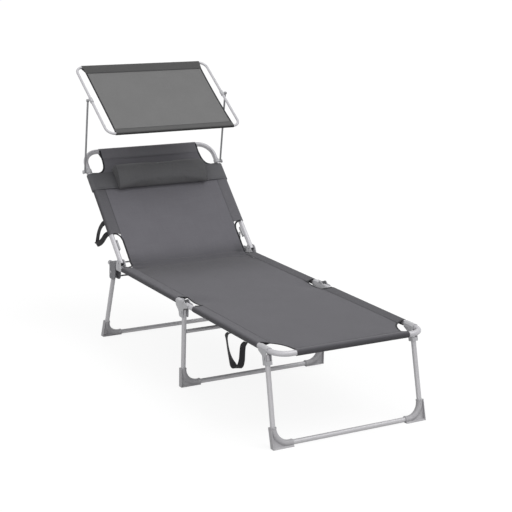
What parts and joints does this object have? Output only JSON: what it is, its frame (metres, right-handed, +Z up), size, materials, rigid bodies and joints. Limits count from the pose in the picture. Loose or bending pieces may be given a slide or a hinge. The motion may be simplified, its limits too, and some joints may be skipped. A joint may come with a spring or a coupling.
{
  "type": "sun lounger",
  "caption": "Folding sun lounger with U-shaped legs, a reclining backrest, a tilting sun canopy, a sliding head pillow and carry loops.",
  "frame": {"origin": "on the ground, in the middle of the box round the whole lounger as it stands in the picture", "axes": "+X across towards the lying person's left as they face the foot end, +Y towards the head end, +Z up"},
  "size_m": [0.7356, 1.8882, 1.2177],
  "materials": {
    "frame_tube": "silver powder coat, satin",
    "leg_tube": "silver grey powder coat, satin",
    "steel": "zinc plated",
    "dark_steel": "dark coat, satin",
    "grey_plastic": "moulded, fine grain",
    "black_plastic": "moulded, matt",
    "seat_fabric": "coated mesh weave, matt",
    "headrest_fabric": "woven, matt",
    "canopy_fabric": "plain weave, matt",
    "webbing": "ribbed webbing"
  },
  "bodies": {
    "root": {"middle_side_tube_left": "frame_tube", "middle_side_tube_right": "frame_tube", "side_tube_cap_left": "grey_plastic", "side_tube_cap_right": "grey_plastic", "middle_hinge_bracket_left": "dark_steel", "middle_hinge_bracket_right": "dark_steel", "foot_hinge_rivet_left": "steel", "foot_hinge_rivet_right": "steel", "middle_leg_rivet_left": "steel", "middle_leg_rivet_right": "steel", "recline_bracket_left": "dark_steel", "recline_bracket_right": "dark_steel", "recline_rivet_left": "steel", "recline_rivet_right": "steel", "rear_leg_block_left": "grey_plastic", "rear_leg_block_right": "grey_plastic", "rear_leg_rivet_left": "steel", "rear_leg_rivet_right": "steel", "rear_cross_rod": "dark_steel", "seat_fabric_middle": "seat_fabric"},
    "foot_section": {"foot_frame_tube": "frame_tube", "foot_hinge_plug_left": "black_plastic", "foot_hinge_plug_right": "black_plastic", "front_leg_bracket_left": "dark_steel", "front_leg_bracket_right": "dark_steel", "front_leg_rivet_left": "steel", "front_leg_rivet_right": "steel", "seat_fabric_foot": "seat_fabric", "foot_carry_loop": "webbing"},
    "front_leg": {"front_leg_tube": "leg_tube", "front_leg_shoe_left": "grey_plastic", "front_leg_shoe_right": "grey_plastic"},
    "middle_leg": {"middle_leg_tube": "leg_tube", "middle_leg_cross_bar": "leg_tube", "middle_leg_shoe_left": "grey_plastic", "middle_leg_shoe_right": "grey_plastic"},
    "rear_leg": {"rear_leg_tube": "leg_tube", "rear_leg_shoe_left": "grey_plastic", "rear_leg_shoe_right": "grey_plastic"},
    "backrest": {"backrest_frame_tube": "frame_tube", "backrest_tube_plug_left": "black_plastic", "backrest_tube_plug_right": "black_plastic", "recline_rack_left": "dark_steel", "recline_rack_right": "dark_steel", "backrest_fabric": "seat_fabric", "backrest_carry_loop": "webbing", "canopy_pivot_left": "grey_plastic", "canopy_pivot_right": "grey_plastic", "canopy_knob_left": "black_plastic", "canopy_knob_right": "black_plastic"},
    "recline_stay": {"recline_stay": "steel"},
    "headrest": {"headrest_band": "headrest_fabric", "headrest_pillow": "headrest_fabric"},
    "canopy_arms": {"canopy_rod_left": "frame_tube", "canopy_rod_right": "frame_tube"},
    "canopy": {"canopy_frame_tube": "frame_tube", "canopy_fabric": "canopy_fabric", "canopy_clip_left": "black_plastic", "canopy_clip_right": "black_plastic"}
  },
  "joints": [
    {"name": "recline", "type": "hinge", "parent": "root", "child": "backrest", "pos_m": [0, 0.43655, 0.394], "axis": [1, 0, 0], "range_deg": [-45, 90]},
    {"name": "stay_swing", "type": "hinge", "parent": "root", "child": "recline_stay", "pos_m": [0, 0.50155, 0.375], "axis": [1, 0, 0], "range_deg": [-72, 144]},
    {"name": "foot_fold", "type": "hinge", "parent": "root", "child": "foot_section", "pos_m": [0, -0.19245, 0.381], "axis": [1, 0, 0], "range_deg": [-165, 0]},
    {"name": "front_leg_fold", "type": "hinge", "parent": "foot_section", "child": "front_leg", "pos_m": [0, -0.85245, 0.335], "axis": [1, 0, 0], "range_deg": [0, 104]},
    {"name": "middle_leg_fold", "type": "hinge", "parent": "root", "child": "middle_leg", "pos_m": [0, -0.18145, 0.331], "axis": [1, 0, 0], "range_deg": [0, 90]},
    {"name": "rear_leg_fold", "type": "hinge", "parent": "root", "child": "rear_leg", "pos_m": [0, 0.50755, 0.335], "axis": [-1, 0, 0], "range_deg": [0, 105]},
    {"name": "canopy_arms", "type": "hinge", "parent": "backrest", "child": "canopy_arms", "pos_m": [0, 0.78798, 0.74543], "axis": [-1, 0, 0], "range_deg": [-45, 120]},
    {"name": "canopy_tilt", "type": "hinge", "parent": "canopy_arms", "child": "canopy", "pos_m": [0, 0.75244, 1.08357], "axis": [1, 0, 0], "range_deg": [-60, 60]},
    {"name": "headrest_slide", "type": "slide", "parent": "backrest", "child": "headrest", "axis": [0, 0.7071, 0.7071], "range_m": [-0.12, 0]}
  ],
  "couplings": [
    {"joint": "stay_swing", "follows": "recline", "ratio": 1.6}
  ]
}
